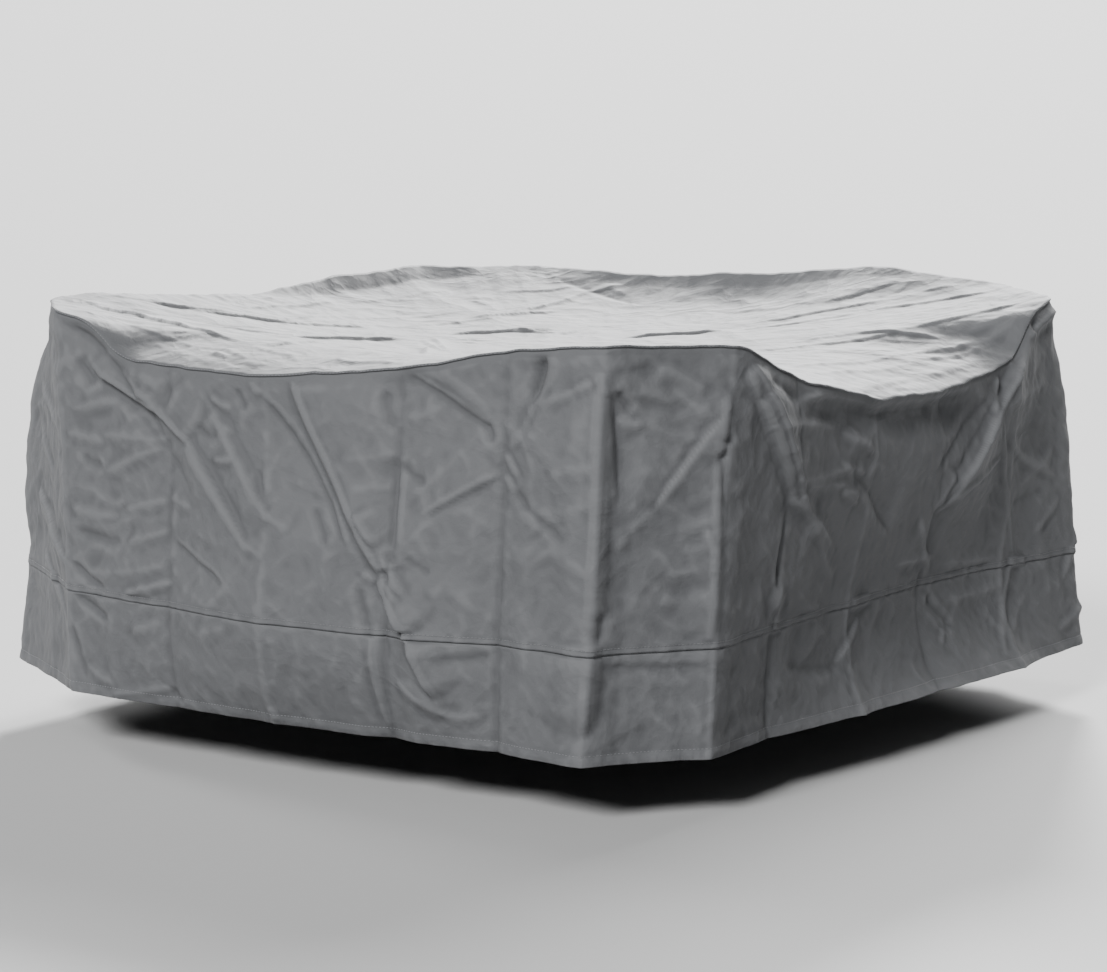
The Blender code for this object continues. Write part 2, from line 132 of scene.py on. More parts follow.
# Folds that run over the skirt and the band, in millimetres: place round and height at each
# end, bow (how far the middle bends to the right hand of someone walking from the first end
# to the second), how far the fold stands out, its width on the left and on the right hand,
# and edge, from 0 for a soft roll to 1 for a sharp line.
WALL_FOLDS = fold_table((
    # broad forms, as in the solids
    (0, 780, 20, 300, 0, 26, 240, 240, 0.8),
    (3920, 780, 3920, 240, 0, 12, 200, 200, 0.8),
    (460, 880, 820, 610, -30, -22, 65, 65, 0.7),
    (680, 760, 1070, 400, -30, 14, 33, 120, 0.8),
    (1180, 810, 1460, 330, 10, 26, 195, 26, 1),
    (1440, 340, 1570, 70, 0, 12, 70, 70, 0.8),
    (1110, 745, 1330, 435, -12, -12, 22, 135, 0.9),
    (1420, 840, 1670, 700, -20, -16, 33, 150, 0.8),
    (1770, 880, 1730, 700, 0, -14, 60, 60, 0.7),
    (2250, 850, 2550, 480, 0, 26, 150, 44, 0.9),
    (3740, 840, 3220, 440, 0, 26, 180, 33, 0.9),
    (2500, 720, 3400, 660, 0, -30, 140, 140, 0.2),
    (2480, 520, 2460, 280, 0, 14, 70, 70, 0.7),
    (5750, 840, 5300, 500, 0, 20, 90, 90, 0.7),
    (4400, 860, 4900, 460, 0, 18, 90, 90, 0.7),
    (6200, 840, 6600, 440, 0, 20, 90, 90, 0.7),
    (7500, 860, 7100, 500, 0, 18, 90, 90, 0.7),
    (970, 700, 1130, 470, 0, 18, 28, 165, 0.8),
    (500, 800, 900, 520, -20, -10, 60, 60, 0.7),
    # left corner and its narrow side
    (140, 440, 450, 310, 0, 16, 17, 68, 0.9),
    (100, 700, 400, 620, 0, 9.6, 30, 30, 0.6),
    (120, 600, 300, 500, 0, 8, 24, 30, 0.8),
    (200, 300, 420, 180, 0, 9.6, 13, 54, 0.8),
    # long fold down from the left corner and its lap
    (564, 769, 806, 680, 4, 22.4, 150, 17, 0.95),
    (795, 690, 895, 618, -3, 19.2, 120, 12, 1),
    (885, 630, 1062, 422, -9, 12.8, 12, 120, 0.95),
    (508, 791, 578, 732, 4, -12.8, 34, 34, 0.8),
    # small crinkles under the edge beside it
    (722, 727, 815, 689, -4, 5.4, 24, 24, 0.8),
    (959, 729, 1027, 709, 3, 5.4, 20, 17, 0.8),
    (957, 685, 1029, 655, -4, 5.4, 20, 20, 0.8),
    (1038, 754, 1069, 709, 0, -5.4, 20, 20, 0.8),
    (1080, 786, 1110, 744, 0, 5.4, 20, 17, 0.85),
    (973, 588, 1043, 598, 3, 5.4, 15, 15, 0.85),
    (913, 655, 996, 642, 3, -5.4, 24, 24, 0.8),
    (787, 719, 697, 719, 0, 5.4, 20, 20, 0.8),
    # narrow dart with its apex under the edge
    (1366, 506, 1420, 439, 0, 12.8, 60, 18, 0.95),
    (1294, 531, 1334, 437, 0, 5.4, 24, 14, 0.85),
    (1238, 506, 1280, 427, 0, -5.4, 27, 20, 0.8),
    (1122, 484, 1178, 449, 0, 5.4, 37, 31, 0.7),
    (1101, 580, 1117, 476, 0, -5.4, 24, 24, 0.8),
    # knot where it meets the third crease
    (1431, 414, 1487, 335, 3, 9.6, 17, 17, 0.85),
    (1427, 387, 1445, 355, 0, -9.6, 17, 14, 0.85),
    (1431, 397, 1466, 397, 0, 6.9, 17, 20, 0.85),
    (1475, 414, 1538, 384, -3, -4, 24, 24, 0.8),
    (1378, 375, 1415, 362, 0, 6.9, 20, 24, 0.85),
    # dark fold across the lower seam
    (1415, 367, 1492, 243, 0, 20.8, 90, 14, 1),
    (1368, 352, 1396, 236, 4, -6.9, 24, 24, 0.85),
    (1494, 236, 1552, 114, 0, 19.2, 90, 14, 1),
    (1394, 233, 1399, 12, 5, 9.6, 55, 12, 0.85),
    (1450, 139, 1566, 74, 7, 9.6, 34, 27, 0.85),
    (1559, 74, 1650, 77, 3, 6.9, 27, 27, 0.85),
    (1550, 196, 1675, 216, 2, -6.9, 24, 44, 0.8),
    # third crease: lines that meet it
    (1454, 620, 1522, 578, 5, -6.9, 27, 27, 0.85),
    (1450, 630, 1454, 439, 5, -11.2, 13, 66, 0.8),
    (1471, 821, 1654, 719, -9, 11.2, 120, 12, 0.95),
    (1650, 722, 1666, 677, -2, -6.9, 20, 20, 0.85),
    (1685, 613, 1517, 513, 3, 9.6, 12, 90, 0.9),
    (1468, 717, 1550, 749, 0, 4, 31, 31, 0.7),
    (1466, 531, 1629, 689, 6, 4, 44, 44, 0.6),
    (1322, 620, 1445, 640, 3, 5.4, 37, 37, 0.7),
    (1343, 556, 1445, 565, -3, 4, 34, 34, 0.7),
    (1415, 776, 1436, 694, 2, -6.9, 27, 27, 0.8),
    (1538, 833, 1636, 853, 0, 5.4, 17, 20, 0.85),
    # left block and lower left
    (494, 670, 636, 699, 2, 6.9, 24, 27, 0.8),
    (478, 613, 599, 598, -3, 6.9, 27, 27, 0.8),
    (599, 618, 829, 625, 4, 6.9, 27, 31, 0.8),
    (604, 526, 794, 598, -4, 6.9, 27, 27, 0.85),
    (522, 561, 597, 543, 0, -6.9, 24, 24, 0.8),
    (480, 437, 645, 432, 4, 6.9, 27, 31, 0.8),
    (678, 449, 813, 484, 0, 6.9, 27, 27, 0.8),
    (492, 389, 659, 372, 5, -6.9, 24, 27, 0.8),
    (685, 375, 817, 414, 0, 6.9, 27, 27, 0.8),
    (536, 290, 810, 335, 6, 5.4, 34, 34, 0.8),
    (471, 308, 590, 255, 5, -11.2, 20, 27, 0.85),
    (650, 246, 822, 298, -3, 9.6, 20, 20, 0.85),
    (480, 231, 587, 188, 3, -11.2, 31, 20, 0.85),
    (459, 166, 492, 35, 4, -6.9, 20, 24, 0.85),
    (499, 69, 585, 32, 3, 5.4, 24, 24, 0.8),
    (676, 164, 771, 203, 0, 5.4, 31, 31, 0.7),
    (843, 392, 1006, 315, 4, -9.6, 12, 75, 0.85),
    (827, 491, 896, 476, 0, 5.4, 31, 31, 0.7),
    (903, 186, 999, 218, 0, 4, 31, 31, 0.6),
    (585, 10, 771, 45, 0, 5.4, 24, 17, 0.85),
    (771, 45, 799, 15, 0, -5.4, 17, 17, 0.85),
    (1085, 42, 1092, 7, 0, 5.4, 17, 17, 0.85),
    (1059, 414, 1120, 387, 0, 5.4, 31, 24, 0.8),
    (843, 476, 822, 342, 3, 4, 20, 20, 0.8),
    # beside the front crease
    (1694, 660, 1733, 608, 0, 5.4, 14, 14, 0.85),
    (1694, 615, 1729, 570, 0, 5.4, 14, 14, 0.85),
    (1713, 588, 1864, 481, 6, -5.4, 24, 20, 0.85),
    (1789, 888, 1750, 771, 0, -16, 20, 27, 0.85),
    (1750, 771, 1713, 670, -5, 5.4, 17, 20, 0.85),
    (1766, 771, 1859, 809, 4, 5.4, 17, 20, 0.85),
    (1859, 806, 1894, 823, 0, 6.9, 15, 15, 0.85),
    (1731, 526, 1917, 565, 4, 4, 41, 41, 0.6),
    (1713, 459, 1878, 464, 4, 4, 44, 44, 0.6),
    (1812, 623, 1912, 647, 0, 4, 34, 34, 0.6),
    # front corner crease, lit on one side
    (1912, 833, 1926, 258, 0, 22.4, 30, 195, 1),
    (1926, 258, 1919, 72, 0, 19.2, 30, 165, 1),
    (1931, 799, 1961, 565, -6, -11.2, 65, 14, 0.7),
    (1912, 843, 1926, 796, 0, 9.6, 14, 17, 0.85),
    (1924, 843, 2033, 851, -3, -6.9, 27, 34, 0.85),
    (2033, 851, 2136, 801, -6, 5.4, 27, 37, 0.7),
    (1940, 804, 1980, 761, -3, -9.6, 24, 24, 0.85),
    (1947, 744, 2008, 729, 3, 6.9, 24, 24, 0.8),
    (1978, 789, 2101, 764, 5, -5.4, 31, 34, 0.8),
    (2066, 804, 2157, 742, 0, 5.4, 44, 41, 0.7),
    (2178, 747, 2047, 553, 0, 11.2, 90, 14, 0.95),
    (2045, 551, 1961, 461, 8, 5.4, 41, 34, 0.8),
    (2117, 556, 2173, 578, 0, 2.2, 24, 24, 0.8),
    (2094, 506, 2175, 521, 2, 2.2, 24, 27, 0.8),
    (2110, 454, 2178, 464, 0, 2.2, 24, 27, 0.8),
    (2075, 407, 2180, 414, 3, 2.2, 27, 31, 0.8),
    (2131, 352, 2182, 357, 0, 2.2, 24, 24, 0.8),
    (1973, 367, 2105, 342, 4, 4, 44, 44, 0.6),
    (1938, 332, 1933, 265, 0, -9.6, 17, 27, 0.85),
    (2159, 503, 2184, 439, 0, 5.4, 14, 14, 0.85),
    (1936, 213, 2182, 203, 3, -6.9, 20, 37, 0.8),
    # corner fold of the front corner panel and the facet beside it
    (2188, 800, 2173, 655, 0, 12.8, 12, 90, 0.95),
    (2173, 655, 2189, 248, -3, 12.8, 12, 90, 0.95),
    (2166, 689, 2201, 697, 0, -5.4, 14, 14, 0.85),
    (2168, 652, 2189, 667, 0, -5.4, 14, 14, 0.85),
    (2238, 843, 2273, 776, 3, 12.8, 60, 20, 0.95),
    (2268, 779, 2475, 533, -4, 14.4, 105, 12, 1),
    (2470, 536, 2684, 409, 0, 9.6, 37, 37, 0.8),
    (2473, 521, 2450, 340, 0, -12.8, 120, 22, 0.95),
    (2450, 340, 2468, 231, 0, 9.6, 44, 44, 0.85),
    (2305, 823, 2461, 759, 4, -9.6, 34, 34, 0.8),
    # right side
    (2475, 754, 2624, 747, -5, 9.6, 51, 13, 0.85),
    (2329, 709, 2649, 675, -7, 6.9, 37, 31, 0.8),
    (2450, 578, 2740, 578, 6, 6.9, 34, 24, 0.85),
    (2508, 558, 2719, 538, 0, 5.4, 24, 24, 0.8),
    (2708, 670, 2833, 593, 3, 5.4, 34, 34, 0.7),
    (2687, 523, 2768, 489, 0, 5.4, 24, 20, 0.85),
    (2696, 590, 2963, 402, -10, -16, 112, 34, 0.6),
    (3184, 424, 3266, 511, 0, 14.4, 44, 31, 0.85),
    (3119, 419, 3207, 263, 0, 6.9, 62, 30, 0.8),
    (3042, 310, 3235, 308, 3, 6.9, 31, 27, 0.8),
    (2822, 238, 2940, 241, 2, 9.6, 20, 17, 0.85),
    (2880, 206, 2759, 124, -4, 9.6, 66, 13, 0.85),
    (2543, 149, 2768, 114, 10, -6.9, 44, 34, 0.7),
    (3245, 208, 3286, 134, 6, 6.9, 34, 44, 0.8),
    (2552, 494, 2724, 327, 5, 6.9, 41, 41, 0.7),
    # right end of the right side
    (3500, 724, 3454, 637, 0, 9.6, 27, 41, 0.8),
    (3454, 637, 3210, 417, -8, 9.6, 90, 12, 0.95),
    (3433, 675, 3163, 526, 6, -8.6, 37, 33, 0.8),
    (3517, 521, 3207, 422, 6, 6.9, 20, 20, 0.85),
    (3484, 642, 3626, 270, -4, 4, 14, 14, 0.85),
    (3626, 270, 3475, 32, 0, 5.4, 17, 17, 0.85),
    (3563, 558, 3814, 444, 5, 6.9, 44, 24, 0.85),
    (3805, 685, 3507, 647, 0, 5.4, 41, 41, 0.7),
    (3810, 518, 3663, 439, 0, 5.4, 34, 34, 0.8),
    (3821, 389, 3714, 308, 4, 6.9, 27, 34, 0.85),
    (3754, 417, 3605, 394, 0, -5.4, 34, 34, 0.7),
    (3935, 313, 3819, 181, 5, 6.9, 24, 24, 0.8),
    (3942, 119, 3770, 55, -3, 6.9, 24, 24, 0.8),
    (3656, 161, 3554, 84, 0, 5.4, 31, 31, 0.7),
    (3226, 216, 3312, 122, 7, -11.2, 27, 34, 0.85),
    (3268, 129, 3238, 94, 0, 5.4, 15, 15, 0.85),
    (3242, 283, 3549, 268, 3, 5.4, 37, 37, 0.7),
    (3303, 186, 3538, 191, 0, 5.4, 37, 37, 0.7),
    (3117, 409, 3221, 280, 4, 6.9, 20, 50, 0.8),
    (2673, 662, 2801, 605, -3, 6.9, 27, 24, 0.85),
    (2670, 590, 2794, 558, 3, 6.9, 24, 24, 0.8),
    (2682, 531, 2768, 508, 0, 5.4, 20, 20, 0.8),
    (3603, 248, 3672, 246, 0, 5.4, 17, 17, 0.8),
    (3765, 866, 3733, 809, 0, -12.8, 27, 27, 0.8),
    (3933, 866, 3710, 804, 5, 9.6, 27, 27, 0.8),
))


def round_distance(a, b):
    """Signed distance from b to a along the closed hem."""
    return (a - b + ROUND / 2) % ROUND - ROUND / 2


def section(name, around):
    """A column of the form read round the cover: straight between rows, then softened.

    It is softened as the mean of seven readings within BLUR to each side.
    """
    nearby = np.asarray(around)[..., None] + np.linspace(-BLUR, BLUR, 7)
    return np.interp(nearby, SECTION["round"], SECTION[name], period=ROUND).mean(axis=-1)


def outward(x, y):
    """Unit vectors in plan, square to a closed loop and pointing out of it."""
    step_x = np.roll(x, -1, axis=0) - np.roll(x, 1, axis=0)
    step_y = np.roll(y, -1, axis=0) - np.roll(y, 1, axis=0)
    length = np.hypot(step_x, step_y)
    return step_y / length, -step_x / length


TENT_POWER = 1.15        # makes the flanks of a sharp fold a little hollow
BELL_WIDTH = 0.62        # width of a soft fold, as a share of a sharp one's
BELL_DROP = 2.2          # at that width it has dropped to exp(-2.2)
PINCH = 0.009            # half-width of the pinched line along a sharp fold
PINCH_HIGH = 0.20        # height of that line, as a share of the fold's


def across(aside, left, right, edge):
    """A fold's section: a share edge of a tent with a sharp top, the rest a soft bell.

    Both reach as far as left on the left hand and right on the right hand, so that a fold
    may lie over to one side, with one broad flank and one steep one. The sharper the fold,
    the higher the pinched line along its crest, as the fourth power of edge.
    """
    far = np.abs(aside) / np.where(aside < 0, left, right)
    tent = np.clip(1 - far, 0, 1) ** TENT_POWER
    bell = np.exp(-BELL_DROP * (far / BELL_WIDTH) ** 2)
    pinch = PINCH_HIGH * edge**4 * np.clip(1 - np.abs(aside) / PINCH, 0, 1)
    return edge * tent + (1 - edge) * bell + pinch


def fold_line(x, y, ax, ay, bx, by, bow):
    """How far along the bowed line from a to b a point lies (0 to 1), and how far beside it.

    The line leaves its chord by bow in its middle, as a parabola.
    """
    length = math.hypot(bx - ax, by - ay)
    along = ((x - ax) * (bx - ax) + (y - ay) * (by - ay)) / length**2
    aside = ((x - ax) * (by - ay) - (y - ay) * (bx - ax)) / length
    return along, aside - 4 * bow * along * (1 - along)


FOLD_FADE = 0.30         # share of its length over which a fold grows to its full height
FOLD_START = 0.10        # how far it has grown at its very end
FOLD_SLIM = 0.3          # its least width, as a share of its full width


def fold_sum(x, y, folds, wrap=None):
    """Sum of a table of folds: each a section across its line, drawn out to a point at its ends."""
    total = np.zeros(np.broadcast(x, y).shape)
    for ax, ay, bx, by, bow, out, left, right, edge in folds:
        near = x if wrap is None else wrap(x, (ax + bx) / 2) + (ax + bx) / 2
        along, aside = fold_line(near, y, ax, ay, bx, by, bow)
        fade = np.clip(np.minimum(along, 1 - along) / FOLD_FADE + FOLD_START, 0, 1)
        fade = np.sin(fade * np.pi / 2)
        slim = FOLD_SLIM + (1 - FOLD_SLIM) * fade
        total += out * fade * across(aside, left * slim, right * slim, edge)
    return total


CREASE_SPREAD = 0.075    # half-width of a packing crease
CREASE_POWER = 1.3       # makes its flanks hollow
CREASE_LOSS = 0.6        # share of its height that it loses on the way up
PRESSED_LINE = 0.010     # half-width of the pressed line along its crest
PRESSED_HIGH = 0.16      # height of that line, as a share of the crease's
PRESSED_LOSS = 0.3       # share of its height that the line loses on the way up


def crease_line(around, height, seam_z):
    """How far out the upright packing creases push the cloth: tents, strongest low down.

    Each leans over the lower half of the wall and goes straight up from there. It has a
    small sharper tent on its crest, where the cloth was pressed.
    """
    total = np.zeros(np.broadcast(around, height).shape)
    up = height / seam_z
    for at, lean, out in zip(CREASE["at"], CREASE["lean"], CREASE["out"]):
        aside = round_distance(around, at + lean * np.clip(up * 2, 0, 1))
        tent = np.clip(1 - np.abs(aside) / CREASE_SPREAD, 0, 1) ** CREASE_POWER
        line = np.clip(1 - np.abs(aside) / PRESSED_LINE, 0, 1)
        total += out * ((1 - CREASE_LOSS * up) * tent
                        + PRESSED_HIGH * (1 - PRESSED_LOSS * up) * line)
    return total


NOISE_NET = 64           # cells after which the random relief repeats
CREST_HIGH = 0.35        # height of a crest, which stands where random relief passes 0


def rough(u, v, size_u, size_v, seed, period=None):
    """Smooth random relief between about -1 and 1: slopes at the points of a net, blended.

    size_u and size_v are the net's spacings; with a period the net closes on itself in u.
    The slopes are blended by the fifth-power ease, and 1.5 brings the sum to about 1.
    """
    rng = np.random.default_rng(seed)
    count = NOISE_NET if period is None else max(3, round(period / size_u))
    size_u = size_u if period is None else period / count
    turn = rng.uniform(0, 2 * np.pi, (count, NOISE_NET))
    u, v = u / size_u, v / size_v
    i, j = np.floor(u).astype(int), np.floor(v).astype(int)
    s, t = u - i, v - j
    total = 0
    for di in (0, 1):
        for dj in (0, 1):
            slope = turn[(i + di) % count, (j + dj) % NOISE_NET]
            a, b = s - di, t - dj
            ease_a, ease_b = (
                1 - w**3 * (w * (w * 6 - 15) + 10) for w in (np.abs(a), np.abs(b)))
            total = total + ease_a * ease_b * (np.cos(slope) * a + np.sin(slope) * b)
    return total * 1.5


# Puckers that sewing leaves in the top's seam: height, length and seed of each size.
PUCKERS = ((0.004, 0.21, 61), (0.003, 0.075, 62), (0.001, 0.03, 63))


def seam_height(around):
    """Height of the top's seam: the form's, with the small random puckers of three sizes."""
    around = np.asarray(around)
    pucker = sum(high * rough(around, 0 * around, long, 1.0, seed, ROUND)
                 for high, long, seed in PUCKERS)
    return section("seam_z", around) + pucker


# Crumple of handled coated cloth: size, share of the height and what its seed adds.
CRUMPLES = ((0.42, 0.7, 3), (0.19, 1.0, 0), (0.085, 0.52, 1), (0.040, 0.26, 2))
CRUMPLE_BEND = 0.35      # how far its lines are bent, as a share of its size
CRUMPLE_TALL = 1.25      # its cells' second side, as a share of the first


def crumple(u, v, seed, period=None):
    """Creased relief of four sizes: sharp crests where random relief passes 0.

    Each size is bent by a slower random relief, so that its lines run crooked.
    """
    total = 0
    for size, share, number in CRUMPLES:
        bend = CRUMPLE_BEND * size
        a = u + bend * rough(u, v, 2 * size, 2 * size, seed + 10 + number, period)
        b = v + bend * rough(u, v, 2 * size, 2 * size, seed + 20 + number, period)
        relief = rough(a, b, size, CRUMPLE_TALL * size, seed + number, period)
        total = total + share * (CREST_HIGH - np.abs(relief))
    return total


def slack(around, height, seed):
    """Level ripples of cloth that hangs slack between two creases, with sharp crests.

    Random relief in cells 0.24 m long and 85 mm high, creased as the crumple is, bent up and
    down 45 mm by a slower one, and multiplied by how slack the cloth hangs there.
    """
    bent = height + 0.045 * rough(around, height, 0.13, 0.22, seed + 5, ROUND)
    ripple = CREST_HIGH - np.abs(rough(around, bent, 0.24, 0.085, seed, ROUND))
    much = np.interp(around, SLACK["round"], SLACK["much"], period=ROUND)
    return much * ripple


BACK_FROM = 4.2          # place round where the plainer back begins
CRUMPLE_FRONT = 0.0074   # height of the crumple in front
CRUMPLE_BACK = 0.0050    # height of the crumple at the back
SLACK_HIGH = 0.0095      # height of the level ripples where the cloth hangs slackest
SEAM_FADE = 0.03         # height below the top's seam over which all relief fades out


def wall(around, height):
    """Plan position of the wall's cloth at places round the cover and heights.

    A straight line from the seam to the hem, pushed out or in by the belly, which is widest
    near the lower seam, then by the packing creases, the folds and the crumple. Over the
    lap of the lower seam the folds run straight down, so that both cloths lie parallel.
    """
    seam_z = seam_height(around)
    down = np.clip(1 - height / seam_z, 0, 1)
    x = section("seam_x", around) * (1 - down) + section("hem_x", around) * down
    y = section("seam_y", around) * (1 - down) + section("hem_y", around) * down
    out = section("belly", around) * np.sin(np.pi * down**BELLY_LOW)
    out = out + crease_line(around, height, seam_z)
    lap = LOWER_SEAM + LAP_BAND / 2
    straight = np.where(np.abs(height - lap) < LAP_BAND, lap, height)
    crumpled = np.where(around < BACK_FROM, CRUMPLE_FRONT, CRUMPLE_BACK)
    relief = fold_sum(around, straight, WALL_FOLDS, round_distance)
    relief = relief + crumpled * crumple(around, straight, seed=3, period=ROUND)
    relief = relief + SLACK_HIGH * slack(around, straight, seed=30)
    out = out + relief * np.clip((seam_z - LAP_TOP - height) / SEAM_FADE, 0, 1)
    out_x, out_y = outward(section("hem_x", around), section("hem_y", around))
    return x + out_x * out, y + out_y * out


def wall_points(around, height, out):
    """Points of a cloth that lies out of the wall's surface by the distance out."""
    x, y = wall(around, height)
    out_x, out_y = outward(x, y)
    return np.stack((x + out_x * out, y + out_y * out, height - TOP_OVER_HEM + 0 * x), axis=-1)


def corners(grid, beside=None):
    """Four values for each cell of a grid [column, row]: two of its column, two of the next."""
    beside = np.roll(grid, -1, axis=0) if beside is None else beside
    return np.stack((grid[:, :-1], grid[:, 1:], beside[:, 1:], beside[:, :-1]), axis=-1)


def cloth_mesh(name, points, faces, corner_uv, wear_and_shade):
    """A smooth mesh of cloth, with UVs in metres of cloth for every corner of its faces.

    The wear and painted shade are kept as an attribute, from -1 in the folds' troughs,
    which get painted shade, to 1 on their ridges, which are worn.
    """
    mesh = bpy.data.meshes.new(name)
    mesh.from_pydata(points.reshape(-1, 3), [], faces.reshape(-1, 4))
    mesh.uv_layers.new(name="cloth").data.foreach_set("uv", corner_uv.ravel())
    mesh.attributes.new("wear_and_shade", "FLOAT", "POINT").data.foreach_set("value", wear_and_shade.ravel())
    mesh.shade_smooth()
    return mesh


# Wear on ridges and painted shade in troughs; a trough is fully painted in shade at the same
# distance in as a ridge is fully worn out.
WEAR_SHADE_REACH = 3           # cells from a point to the neighbours that it is measured against
WEAR_SHADE_FULL = 0.0018       # distance out of them at which a ridge is fully worn


def off_neighbours(grid):
    """How far each value of a grid lies off the mean of its four neighbours WEAR_SHADE_REACH away."""
    return grid - sum(
        np.roll(np.roll(grid, a, axis=0), b, axis=1)
        for a, b in ((WEAR_SHADE_REACH, 0), (-WEAR_SHADE_REACH, 0), (0, WEAR_SHADE_REACH), (0, -WEAR_SHADE_REACH))) / 4


def loop_mesh(name, points, around, down):
    """The mesh of a closed loop of cloth from a grid of points [column, row].

    Its UVs are the place round the cover and the place down the cloth. A point is as worn
    as it stands out of its neighbours, square to the loop, and as darkened by painted shade
    as it lies in from them.
    """
    around = np.broadcast_to(around, points.shape[:2])
    number = np.arange(around.size).reshape(around.shape)
    uv = np.stack((corners(around, np.vstack((around[1:], around[:1] + ROUND))), corners(down)),
                  axis=-1)
    out_x, out_y = outward(points[..., 0], points[..., 1])
    off = off_neighbours(points)
    away = off[..., 0] * out_x + off[..., 1] * out_y
    away[:, :WEAR_SHADE_REACH] = 0
    away[:, -WEAR_SHADE_REACH:] = 0
    return cloth_mesh(name, points, corners(number), uv, np.clip(away / WEAR_SHADE_FULL, -1, 1))


def linear(hex_colour):
    """An sRGB colour such as "8a8c8e" as the linear values that a shader takes."""
    channels = [int(hex_colour[i:i + 2], 16) / 255 for i in (0, 2, 4)]
    return (*[c / 12.92 if c <= 0.04045 else ((c + 0.055) / 1.055) ** 2.4 for c in channels], 1)


def new_material(name, looks):
    """A material, and its main shader with the looks set, such as {"Roughness": 0.5}."""
    material = bpy.data.materials.new(name)
    material.use_nodes = True
    shader = material.node_tree.nodes["Principled BSDF"]
    for socket, value in looks.items():
        shader.inputs[socket].default_value = value
    return material, shader


def add_node(tree, kind, inputs=None, **settings):
    """Adds a node: settings are its own options; inputs are values, or sockets to link."""
    made = tree.nodes.new(kind)
    for name, value in settings.items():
        setattr(made, name, value)
    for name, value in (inputs or {}).items():
        if isinstance(value, bpy.types.NodeSocket):
            tree.links.new(value, made.inputs[name])
        else:
            made.inputs[name].default_value = value
    return made


WEAVE_THREAD = 0.0006    # spacing of the threads


def woven_polyester(name):
    """Woven polyester with a matt coating, as used for outdoor covers.

    The coating gives a soft, slightly milky sheen and no mirror gloss. Ridges are rubbed
    paler, and the troughs are painted darker as painted shade. The relief, from coarse to
    fine: soft creases about 0.2 m apart, a crinkle in cells of about 30 mm that the coating
    keeps from folding, ripples of 18 mm, a grain of 4 mm, and the weave at its real 0.6 mm,
    which is seen only close to.
    """
    material, shader = new_material(name, {
        "Roughness": 0.75, "IOR": 1.45, "Specular IOR Level": 0.30, "Sheen Weight": 0.04,
        "Sheen Roughness": 0.45})
    tree = material.node_tree
    # In use the coating is rubbed and dusty on ridges; the troughs get painted shade, a darker
    # colour.
    plain, scuffed, painted_shade_colour = linear("4a4b4d"), linear("5a5b5d"), linear("3b3c3e")
    cloth = add_node(tree, "ShaderNodeUVMap", uv_map="cloth").outputs["UV"]
    wear_and_shade = add_node(tree, "ShaderNodeAttribute", attribute_name="wear_and_shade").outputs["Fac"]
    clouds = add_node(tree, "ShaderNodeTexNoise", {
        "Vector": cloth, "Scale": 3.5, "Detail": 5.0, "Roughness": 0.6})
    dusty = add_node(tree, "ShaderNodeMapRange", {
        "Value": clouds.outputs["Fac"], "From Min": 0.35, "From Max": 0.75,
        "To Max": 0.30}).outputs["Result"]
    ridge = add_node(tree, "ShaderNodeMapRange", {
        "Value": wear_and_shade, "From Min": 0.15, "From Max": 1.0, "To Max": 0.55}).outputs["Result"]
    # Painted shade: the troughs are darkened by how far they lie in from their neighbours.
    painted_trough_shade = add_node(tree, "ShaderNodeMapRange", {
        "Value": wear_and_shade, "From Min": -0.15, "From Max": -1.0, "To Max": 0.5}).outputs["Result"]
    colour = plain
    # Dust and wear lighten the colour; painted shade darkens the troughs.
    for share, other in ((dusty, scuffed), (ridge, scuffed), (painted_trough_shade, painted_shade_colour)):
        colour = add_node(tree, "ShaderNodeMix", {
            0: share, 6: colour, 7: other}, data_type="RGBA").outputs[2]
    tree.links.new(colour, shader.inputs["Base Color"])
    strayed = add_node(tree, "ShaderNodeVectorMath", {
        0: add_node(tree, "ShaderNodeTexNoise", {
            "Vector": cloth, "Scale": 30.0, "Detail": 2.0}).outputs["Color"],
        "Scale": 0.018}, operation="SCALE").outputs[0]
    crinkle = add_node(tree, "ShaderNodeTexVoronoi", {
        "Vector": add_node(tree, "ShaderNodeVectorMath", {0: cloth, 1: strayed}).outputs[0],
        "Scale": 34.0}, feature="DISTANCE_TO_EDGE")
    ripple = add_node(tree, "ShaderNodeTexNoise", {
        "Vector": cloth, "Scale": 55.0, "Detail": 3.0, "Roughness": 0.5})
    crinkled = add_node(tree, "ShaderNodeMath", {
        0: add_node(tree, "ShaderNodeMapRange", {
            "Value": crinkle.outputs["Distance"], "From Max": 0.35}).outputs["Result"],
        1: ripple.outputs["Fac"]}, operation="ADD").outputs[0]
    creases = add_node(tree, "ShaderNodeTexNoise", {
        "Vector": cloth, "Scale": 4.5, "Detail": 3.0, "Roughness": 0.45, "Lacunarity": 2.2,
        "Offset": 0.9, "Gain": 1.8, "Distortion": 0.4},
        noise_type="RIDGED_MULTIFRACTAL").outputs["Fac"]
    grain = add_node(tree, "ShaderNodeTexNoise", {
        "Vector": cloth, "Scale": 260.0, "Detail": 2.0}).outputs["Fac"]
    # A wave repeats after 0.314 / Scale, which is the width of two threads.
    warp, weft = (add_node(tree, "ShaderNodeTexWave", {
        "Vector": cloth, "Scale": 0.5 / WEAVE_THREAD / 3.1416},
        bands_direction=direction).outputs["Fac"] for direction in "XY")
    weave = add_node(tree, "ShaderNodeMath", {0: warp, 1: weft}, operation="MAXIMUM").outputs[0]
    bumps = {}
    for relief, strength, depth in (
            (creases, 0.5, 0.010), (crinkled, 0.35, 0.0012), (grain, 0.30, 0.0008),
            (weave, 0.15, 0.0001)):
        bump = add_node(tree, "ShaderNodeBump", {
            "Height": relief, "Strength": strength, "Distance": depth, **bumps})
        bumps = {"Normal": bump.outputs["Normal"]}
    tree.links.new(bumps["Normal"], shader.inputs["Normal"])
    return material


